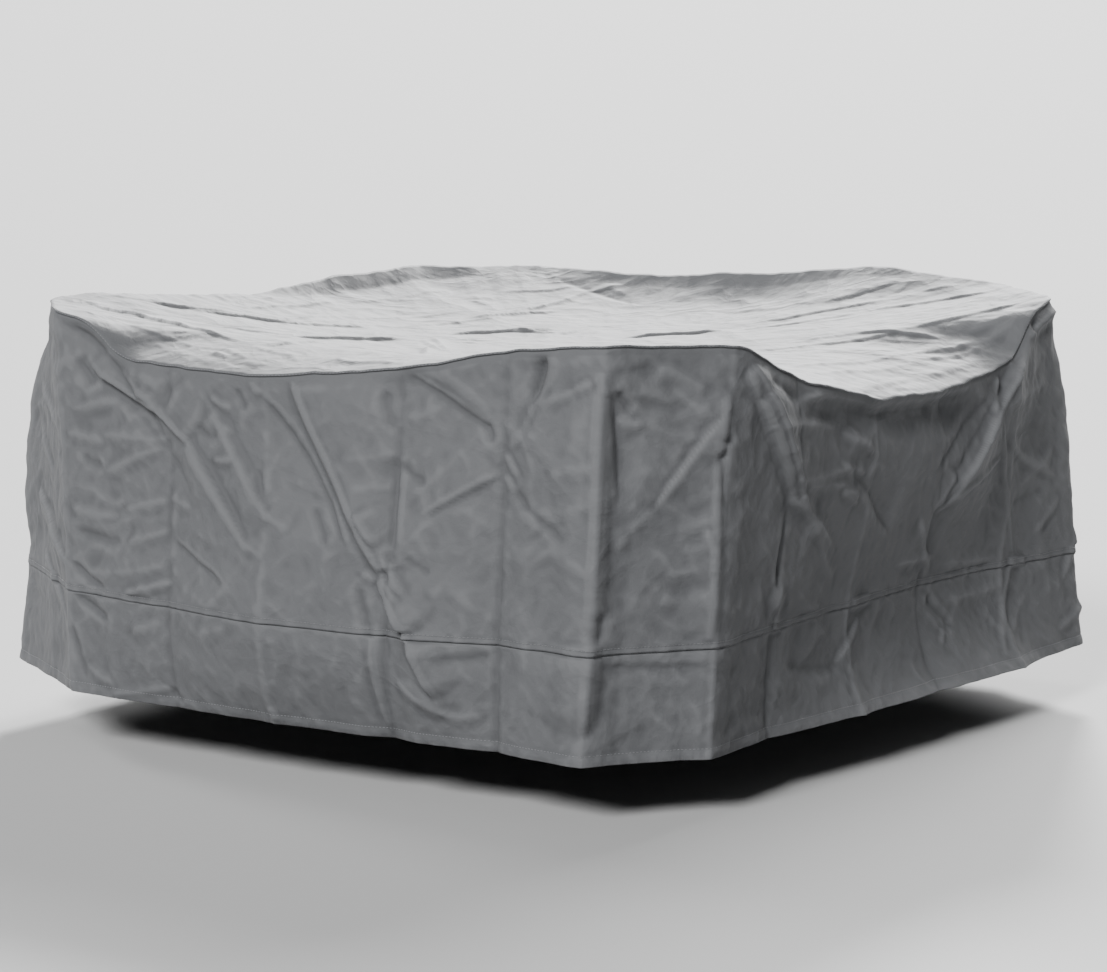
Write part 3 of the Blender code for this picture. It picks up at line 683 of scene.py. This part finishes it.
def place(name, data):
    """A new object in the scene, at the origin, that shows the data."""
    placed = bpy.data.objects.new(name, data)
    bpy.context.scene.collection.objects.link(placed)
    return placed


def cloth_piece(name, mesh, material, node):
    """Gives a finished cloth its material, links it under the root and hides the solid that it
    stands for.
    """
    mesh.materials.append(material)
    piece = place(name, mesh)
    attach(piece, "root")
    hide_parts(node)


grey_polyester = woven_polyester("coated woven polyester, grey")

# Mesh columns of both walls: 6 mm apart in front, 28 mm at the back.
front_columns = np.arange(-0.30, 4.30, 0.0060)
back_columns = np.linspace(front_columns[-1] + 0.0060, ROUND - 0.30, 111, endpoint=False)
columns = np.sort(np.concatenate((front_columns, back_columns)) % ROUND)[:, None]

# The skirt from 4 mm under the top's seam down to its lower edge, in rows 6 mm apart that
# come closer near the edge, and three more rows that are folded up behind it. The lip
# presses it in over 12 mm, and the groove of its stitches is 12 mm wide.
skirt_seam = seam_height(columns)
share_down = np.concatenate((
    np.linspace(0, 0.96, 104), np.linspace(0.96, 1, 7)[1:]))[None, :]
skirt_height = (skirt_seam - 0.004) * (1 - share_down) + LOWER_SEAM * share_down
pressed_in = LIP_PRESS * np.clip((skirt_height - skirt_seam + 0.012) / 0.008, 0, 1)
groove = THREAD_PULL * np.clip(
    1 - np.abs(skirt_height - LOWER_SEAM - SEAM_STITCH) / 0.006, 0, 1)
skirt = wall_points(columns, skirt_height, FACE - pressed_in - groove)
folded_under = wall_points(
    columns, LOWER_SEAM + np.array([[0.0004, 0.004, 0.0085]]) + 0 * columns,
    FACE - np.array([[0.0010, 0.0012, 0.0012]]))
skirt = np.concatenate((skirt, folded_under), axis=1)
skirt_down = np.concatenate((
    skirt_height, LOWER_SEAM - np.array([[0.001, 0.005, 0.009]]) + 0 * columns), axis=1)
cloth_piece(
    "upper_skirt_cloth", loop_mesh("upper_skirt_cloth", skirt, columns, skirt_down),
    grey_polyester, "upper_skirt")


# ---- Lower band ------------------------------------------------------------------------
# A straight strip of the same cloth, sewn behind the skirt's lower edge. Its own lower edge
# is turned up inside by 25 mm and stitched, which makes the hem that hangs near the ground.
HEM_TURN = 0.025         # height of the turned-up hem
HEM_STITCH = 0.001       # the stitches' depth below its upper edge
HEM_PULL = 0.0009        # how deep they pull the cloth in
HEM_PUFF = 0.0012        # how far the two cloths of the hem bulge
BAND_FACE = 0.00075      # outer face of the band, out of the wall's own surface
BAND_BEHIND = 0.0045     # how much further in it lies behind the skirt's edge

# Rows from the lap behind the skirt down to the hem: closer at the seam and in the hem.
band_rows = np.concatenate([np.linspace(upper, lower, count, endpoint=False)
                            for upper, lower, count in (
                                (0.252, 0.232, 5), (0.232, HEM_TURN, 37), (HEM_TURN, 0.004, 5),
                                (0.004, 0.0, 2))] + [[0.0]])
band_height = band_rows[None, :] + 0 * columns
# It goes in behind the skirt over 4 mm, and bulges between the hem's fold and its stitches.
behind = BAND_BEHIND * np.clip((band_height - LOWER_SEAM + 0.001) / 0.004, 0, 1)
stitched = -HEM_PULL * np.exp(-((band_height - HEM_TURN + HEM_STITCH) / 0.0022) ** 2)
puffed = HEM_PUFF * np.clip(1 - np.abs(band_height - 0.012) / 0.011, 0, 1) ** 0.6
band = wall_points(columns, band_height, BAND_FACE - behind + stitched + puffed)
turned_up = wall_points(
    columns, np.array([[0.0002, 0.008, 0.016, 0.0235]]) + 0 * columns,
    BAND_FACE - np.array([[0.0020, 0.0028, 0.0028, 0.0024]]))
band = np.concatenate((band, turned_up), axis=1)
band_down = np.concatenate((
    band_height, -np.array([[0.001, 0.009, 0.017, 0.0245]]) + 0 * columns), axis=1)
cloth_piece(
    "lower_band_cloth", loop_mesh("lower_band_cloth", band, columns, band_down),
    grey_polyester, "lower_band")


# ---- Top panel -------------------------------------------------------------------------
# One round piece of the same coated cloth. It hangs as a shallow dish between the four high
# corners and rolls over the rim. Its edge is turned down over the top of the skirt as a 5 mm
# lip, and sewn to it.
TOP_FACE = 0.0046        # outer face of the lip, out of the wall's own surface
TOP_NET = 300            # cells along each side of the net, bent to the round
ROLL_START = 0.62        # share of the way to the seam at which the top begins to roll down
TOP_CRUMPLE = 0.0055     # height of the crumple
TOP_FADE = 0.06          # share of the way over which the relief fades at the seam
SINK_START = 0.60        # share of the way at which the top begins to sink inside its rim,
SINK_LENGTH = 0.35       # share over which it sinks,
SINK_RISE = 0.05         # and share over which it rises again to the seam
SINK_SMOOTH = 40         # how fast the sink pulls the relief smooth: all of it at 25 mm

# Taut folds of the top, in millimetres: as the wall's folds, but with x and y in plan.
TOP_FOLDS = fold_table((
    # left end: taut from the left corner
    (-991, -630, -370, -746, 3, 7, 98, 9, 0.9),
    (-1034, -552, -928, -360, 6, 5, 56, 13, 0.9),
    (-959, -452, -780, -223, 4, 6.5, 70, 11, 0.9),
    (-855, -357, -673, -140, 3, 7.2, 70, 11, 0.9),
    (-694, -167, -591, 45, -3, 5.7, 56, 11, 0.9),
    (-731, -591, -440, -432, 6, 3.2, 84, 11, 0.9),
    (-447, -466, -309, -134, 5, 7.8, 84, 11, 0.9),
    (-309, -134, -124, -309, 0, 4.3, 31, 10, 0.9),
    (-284, -755, -292, -539, 4, 5.7, 50, 11, 0.9),
    (-902, -640, -519, -741, 0, 1.1, 56, 15, 0.9),
    (-656, -859, -502, -822, 4, 2.2, 48, 11, 0.9),
    (-549, -806, -532, -762, 0, 2.2, 34, 10, 0.9),
    (-506, -829, -366, -847, 3, 2.2, 42, 11, 0.9),
    (-378, -836, -238, -902, 0, 4.2, 34, 10, 0.9),
    (-569, -865, -441, -901, 0, 1.7, 31, 11, 0.9),
    (-613, -909, -538, -935, 0, 1.4, 31, 11, 0.9),
    (-365, -873, -296, -911, 0, 4.8, 31, 10, 0.9),
    (-447, -901, -354, -969, 0, 1.9, 31, 10, 0.9),
    (-231, -921, -170, -951, 0, 3.7, 31, 10, 0.9),
    (-374, -925, -284, -964, 0, 3.7, 31, 10, 0.9),
    (-290, -921, -223, -954, 0, -3.7, 31, 11, 0.9),
    (-329, -775, -149, -850, 4, 3.2, 36, 13, 0.9),
    (-38, -880, 208, -924, -10, 5.7, 84, 20, 0.9),
    (-186, -821, -101, -886, 0, 3.2, 31, 10, 0.9),
    (-97, -939, 31, -956, -4, 3.2, 31, 11, 0.9),
    (-223, -581, -32, -548, -4, 2.7, 50, 20, 0.8),
    (-169, -301, -20, -510, 0, 4.3, 31, 10, 0.9),
    (-350, -28, -110, -301, 0, 4.3, 31, 10, 0.9),
    # left corner
    (-1010, -690, -930, -600, 0, 2.3, 30, 26, 0.9),
    (-900, -790, -800, -800, 0, 2.8, 30, 18, 0.9),
    # middle and far side
    (-371, 71, -190, 308, -4, 8.5, 70, 11, 0.9),
    (-291, -32, -169, 28, 0, 3.2, 42, 11, 0.9),
    (-521, 329, -429, 656, 4, 6.5, 70, 11, 0.9),
    (-854, 436, -788, 528, 0, 4.2, 36, 10, 0.9),
    (-992, 292, -965, 464, 3, 4.2, 50, 11, 0.9),
    (-964, 284, -935, 484, 0, 4.3, 36, 11, 0.9),
    (-900, -129, -901, 290, 6, 5.7, 70, 13, 0.9),
    (-897, 286, -811, 683, 4, 5, 70, 15, 0.9),
    (-777, 392, -777, 441, 0, 3.2, 31, 10, 0.9),
    (-687, 604, -616, 576, 0, 3.2, 31, 10, 0.9),
    (-714, 163, -619, 433, 3, 4.3, 56, 13, 0.9),
    (-569, 145, -463, 445, 3, 4.3, 56, 13, 0.9),
    (-754, -188, -784, 141, 4, 4.3, 50, 13, 0.9),
    (-1027, -111, -969, 119, 3, 5, 56, 13, 0.9),
    (-493, 467, -495, 881, 5, 6.5, 70, 15, 0.9),
    (-635, 939, -296, 839, -5, -6.5, 42, 30, 0.9),
    (-699, 994, -610, 919, 0, 4.2, 36, 17, 0.9),
    (-498, 886, -401, 998, 0, 3.7, 36, 15, 0.9),
    (-481, 958, -382, 901, 0, 3.2, 31, 11, 0.9),
    (-315, 215, -150, 271, 3, 4, 56, 10, 0.9),
    (-151, 230, -160, 423, 0, 4.8, 36, 10, 0.9),
    (33, 272, 219, 439, 4, 7.2, 62, 11, 0.9),
    (-18, 807, 304, 759, 4, 4.3, 70, 17, 0.8),
    (-667, 711, -552, 907, 0, 4.3, 56, 15, 0.8),
    # right end: taut from the right corner
    (257, 559, 503, 816, 5, 4.5, 78, 11, 0.9),
    (316, 761, 462, 971, 4, 4.5, 70, 15, 0.9),
    (478, 861, 483, 972, 0, 2.6, 36, 13, 0.9),
    (540, 890, 620, 962, 3, 2.3, 36, 11, 0.9),
    (279, 414, 509, 711, 5, 4, 70, 11, 0.9),
    (499, 710, 745, 908, 4, 4.5, 70, 11, 0.9),
    (505, 132, 739, 466, 6, 4.5, 78, 11, 0.9),
    (739, 466, 920, 772, 6, 4.8, 70, 11, 0.9),
    (548, 293, 633, 399, -3, 2.6, 50, 11, 0.9),
    (630, 399, 836, 469, -6, 4.5, 62, 10, 0.9),
    (733, -162, 831, 338, 6, 3.5, 84, 15, 0.9),
    (831, 338, 971, 688, 8, 4.5, 62, 11, 0.9),
    (811, -194, 877, 274, 6, 3.1, 70, 17, 0.8),
    (982, -404, 933, 132, 4, 4, 56, 13, 0.9),
    (801, 264, 861, 451, 3, 2.3, 34, 11, 0.9),
    (869, 288, 934, 549, 4, 4, 42, 11, 0.9),
    (867, 386, 899, 533, 3, 2.3, 31, 11, 0.9),
    (970, -58, 998, 216, 3, 5.3, 36, 11, 0.9),
    (947, 179, 952, 453, 4, 3.5, 39, 11, 0.9),
    (868, 535, 954, 683, 3, 2.6, 36, 11, 0.9),
    (673, 1007, 834, 857, -3, 5.3, 31, 11, 0.9),
    (822, 871, 934, 784, 0, 2.3, 31, 11, 0.9),
    (950, 723, 979, 696, 0, -3.9, 31, 11, 0.9),
))

# How far the top sinks just inside its rim at places round: the rim stands up over it.
SINK = table(("round", "sink"), (
    (0.00, 0.0), (4.40, 0.0), (4.80, 0.006), (5.40, 0.006), (5.70, 0.0), (5.85, 0.0), (6.05, 0.016),
    (6.45, 0.019), (6.80, 0.0), (7.70, 0.0),
))


def top_height(around, share, x, y):
    """Height of the top over the hem at a share of the way from the middle to the seam.

    The dish climbs as a power of the share towards the rim and rolls down to the seam over
    the last part, as a square. Inside the far rim it sinks, as two straight slopes that meet
    at a share of 0.95. The folds and the crumple come on top and fade at the seam.
    """
    seam_z = seam_height(around)
    rim_z = section("rim_z", around) - section("seam_z", around) + seam_z
    roll = np.clip((share - ROLL_START) / (1 - ROLL_START), 0, 1)
    dish = (rim_z - TOP_OVER_HEM) * share ** section("climb", around)
    relief = fold_sum(x, y, TOP_FOLDS) + TOP_CRUMPLE * crumple(x, y, seed=40)
    inside = np.clip(np.minimum(
        (share - SINK_START) / SINK_LENGTH, (1 - share) / SINK_RISE), 0, 1)
    sink = np.interp(around, SINK["round"], SINK["sink"]) * inside
    relief = relief * (1 - SINK_SMOOTH * sink)
    return (TOP_OVER_HEM + dish - (rim_z - seam_z) * roll**2 - sink
            + relief * np.clip((1 - share) / TOP_FADE, 0, 1))


def square_round(size):
    """Place round the cover and share of the way out for each point of a square net.

    The share is the larger of the two distances from the net's middle, and the place is
    how far round its square ring the point lies, counted from the left corner.
    """
    a, b = np.meshgrid(np.linspace(-1, 1, size + 1), np.linspace(-1, 1, size + 1), indexing="ij")
    share = np.maximum(np.abs(a), np.abs(b))
    s = np.maximum(share, 1e-9)
    side = np.select(
        [b <= -s, a >= s, b >= s], [(a / s + 1) / 8, 0.25 + (b / s + 1) / 8, 0.5 + (1 - a / s) / 8],
        0.75 + (1 - b / s) / 8)
    return side % 1 * ROUND, share


# The net: its ring at each share is the seam's loop made smaller by that share.
net_round, net_share = square_round(TOP_NET)
seam_places = np.linspace(0, ROUND, 4 * TOP_NET, endpoint=False)
seam_loop = wall_points(seam_places[:, None], seam_height(seam_places)[:, None], TOP_FACE)[:, 0]
edge_x, edge_y = (
    np.interp(net_round, seam_places, seam_loop[:, k], period=ROUND) for k in (0, 1))
net_x, net_y = edge_x * net_share, edge_y * net_share
net_z = top_height(net_round, net_share, net_x, net_y) - TOP_OVER_HEM
net = np.stack((net_x, net_y, net_z), axis=-1)
net_number = np.arange(net_z.size).reshape(net_z.shape)
net_faces = np.stack((
    net_number[:-1, :-1], net_number[1:, :-1], net_number[1:, 1:], net_number[:-1, 1:]), axis=-1)

# The lip: rows that go down over the skirt from the net's outer ring and up again inside.
ring = np.concatenate((
    net_number[:-1, 0], net_number[-1, :-1], net_number[:0:-1, -1], net_number[0, :0:-1]))
turn_height = np.array([0.0012, 0.0026, 0.0040, LAP_TOP, LAP_TOP - 0.0004, 0.003])
turn_out = TOP_FACE + np.array([0.0007, 0.0010, 0.0008, 0.0002, -0.0012, -0.0014])
turned = wall_points(
    seam_places[:, None], seam_height(seam_places)[:, None] - turn_height[None, :], turn_out)
turned_number = net_z.size + np.arange(turned[..., 0].size).reshape(turned.shape[:2])
rings = np.concatenate((ring[:, None], turned_number), axis=1)

top_points = np.concatenate((net.reshape(-1, 3), turned.reshape(-1, 3)))
top_faces = np.concatenate((net_faces.reshape(-1, 4), corners(rings).reshape(-1, 4)))

# Wear and painted shade are left off the outermost 3%, where a point has no neighbours further out.
top_wear_and_shade = np.zeros(len(top_points))
top_wear_and_shade[:net_z.size] = (
    np.clip(off_neighbours(net_z) / WEAR_SHADE_FULL, -1, 1) * (net_share < 0.97)).ravel()

# The same cloth with the same finish, as a material of its own for the top's slot.
top_polyester = woven_polyester("coated woven polyester, grey, of the top")
cloth_piece(
    "top_panel_cloth",
    cloth_mesh("top_panel_cloth", top_points, top_faces, top_points[top_faces, :2], top_wear_and_shade),
    top_polyester, "top_panel")


# ---- Stitching -------------------------------------------------------------------------
# Lockstitch in grey polyester thread: one row round the lower seam, one round the hem and one
# round the top's lip. Real ones are some 4 mm long in 0.6 mm thread. These are drawn 6.2 mm
# long and 1 mm thick, so that they show at the distance of the picture.
STITCH_PITCH = 0.0085    # from one stitch to the next
STITCH_LENGTH = 0.0062
STITCH_THICK = 0.0010


def stitch_row(height_of, out):
    """A row of short thread bars along the cloth, each a flattened six-sided rod.

    Each bar has five rings, from its first hole to its second: it follows the cloth, dips
    in and thins out at both holes, and stands a little proud between them.
    """
    starts = np.arange(0, ROUND - STITCH_PITCH / 2, STITCH_PITCH)
    along = np.array([0.0, 0.2, 0.5, 0.8, 1.0]) * STITCH_LENGTH
    lift = np.array([-0.0004, 0.0003, 0.0005, 0.0003, -0.0004])
    thick = np.array([0.35, 0.9, 1.0, 0.9, 0.35]) * STITCH_THICK / 2
    places = (starts[:, None] + along[None, :]).ravel()[:, None]
    heights = height_of(places)
    middle = wall_points(places, heights, out)
    face = wall_points(places, heights, out + 0.001) - middle
    face /= np.linalg.norm(face, axis=-1, keepdims=True)
    middle = middle.reshape(len(starts), 5, 3) + lift[None, :, None] * face.reshape(-1, 5, 3)
    face = face.reshape(-1, 5, 3)
    turn = np.arange(6) * np.pi / 3
    rod = (middle[:, :, None, :]
           + (thick[None, :, None] * np.cos(turn))[..., None] * face[:, :, None, :]
           + (thick[None, :, None] * np.sin(turn))[..., None] * np.array([0, 0, 1.0]))
    number = np.arange(rod[..., 0].size).reshape(len(starts), 5, 6)
    sides = corners(number, np.roll(number, -1, axis=2)).reshape(-1, 4)
    return rod.reshape(-1, 3), sides, number[:, 0, ::-1], number[:, -1]


# Each row's height, and how far out it lies: the hem's lies in its groove, the lip's on it.
thread_points, thread_faces, count = [], [], 0
for height_of, out in (
        (lambda at: LOWER_SEAM + SEAM_STITCH + 0 * at, FACE),
        (lambda at: HEM_TURN - HEM_STITCH + 0 * at, BAND_FACE - 0.0006),
        (lambda at: seam_height(at) - 0.0025, TOP_FACE + 0.0006)):
    rod, sides, first, last = stitch_row(height_of, out)
    thread_points.append(rod)
    for faces in (sides, first, last):
        thread_faces.extend((faces + count).tolist())
    count += len(rod)
thread_mesh = bpy.data.meshes.new("seam_stitching")
thread_mesh.from_pydata(np.concatenate(thread_points), [], thread_faces)
thread_mesh.shade_smooth()

# Spun polyester thread: silkier than the cloth, and a little paler from place to place.
thread, thread_shader = new_material(
    "polyester sewing thread, grey", {"Roughness": 0.45, "IOR": 1.5})
twist = add_node(thread.node_tree, "ShaderNodeTexNoise", {
    "Vector": add_node(thread.node_tree, "ShaderNodeTexCoord").outputs["Object"],
    "Scale": 60.0})
tone = add_node(thread.node_tree, "ShaderNodeMix", {
    0: twist.outputs["Fac"], 6: linear("5c5d5f"), 7: linear("76787a")}, data_type="RGBA")
thread.node_tree.links.new(tone.outputs[2], thread_shader.inputs["Base Color"])
thread_mesh.materials.append(thread)
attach(place("seam_stitching", thread_mesh), "root")


# ---- Studio ----------------------------------------------------------------------------
# A plain floor, two low lights from behind that graze the top, a soft one from the front, a
# faint one from the left, and a low even sky.
GROUND = -0.915          # height of the floor: the hem hangs 0.138 m over it
FAR = 400                # how far the floor reaches each way

# Matt light grey paint: without gloss, so that it spreads the lights evenly.
floor_mesh = bpy.data.meshes.new("floor")
floor_mesh.from_pydata(
    [(-FAR, -FAR, GROUND), (FAR, -FAR, GROUND), (FAR, FAR, GROUND), (-FAR, FAR, GROUND)],
    [], [(0, 1, 2, 3)])
floor_mesh.materials.append(new_material(
    "matt paint, light grey", {"Base Color": linear("9a9a9a"), "Roughness": 0.9})[0])
place("floor", floor_mesh)


def soft_sun(name, toward, strength, spread):
    """Even light from the direction toward, as soft as a source spread degrees wide."""
    light = bpy.data.lights.new(name, "SUN")
    light.energy = strength
    light.angle = math.radians(spread)
    x, y, z = toward
    place(name, light).rotation_euler = (
        math.atan2(math.hypot(x, y), z), 0, math.atan2(x, -y))


soft_sun("low light, back left", (-0.45, 0.80, 0.46), 9.2, 10)
soft_sun("low light, back", (-0.15, 0.90, 0.52), 5.9, 30)
soft_sun("front light", (0.11, -1.0, 0.76), 6.5, 20)
soft_sun("left light", (-1.0, 0.25, 0.55), 1.6, 15)

world = bpy.data.worlds.new("studio air")
world.use_nodes = True
world.node_tree.nodes["Background"].inputs["Color"].default_value = linear("f4f6f8")
world.node_tree.nodes["Background"].inputs["Strength"].default_value = 0.15
bpy.context.scene.world = world


# ---- Camera ----------------------------------------------------------------------------
# At eye height, in front and to the right, looking a little down, as the picture was taken.
TURN = math.radians(34.4)
DIP = math.radians(8.24)
AWAY = 8.6526            # on the ground, from the cover's middle
EYE = 1.8185             # over the ground
SENSOR = 36.0            # its width in millimetres
PICTURE = 1107           # the picture's width in pixels
FOCUS = 3500             # focal length in the same pixels

lens = bpy.data.cameras.new("camera")
lens.sensor_width = SENSOR
lens.sensor_fit = "HORIZONTAL"
lens.lens = SENSOR * FOCUS / PICTURE
lens.clip_end = 2000     # beyond the floor's edge
camera = place("camera", lens)
camera.location = (AWAY * math.sin(TURN), -AWAY * math.cos(TURN), EYE + GROUND)
camera.rotation_euler = (math.pi / 2 - DIP, 0, TURN)
bpy.context.scene.camera = camera
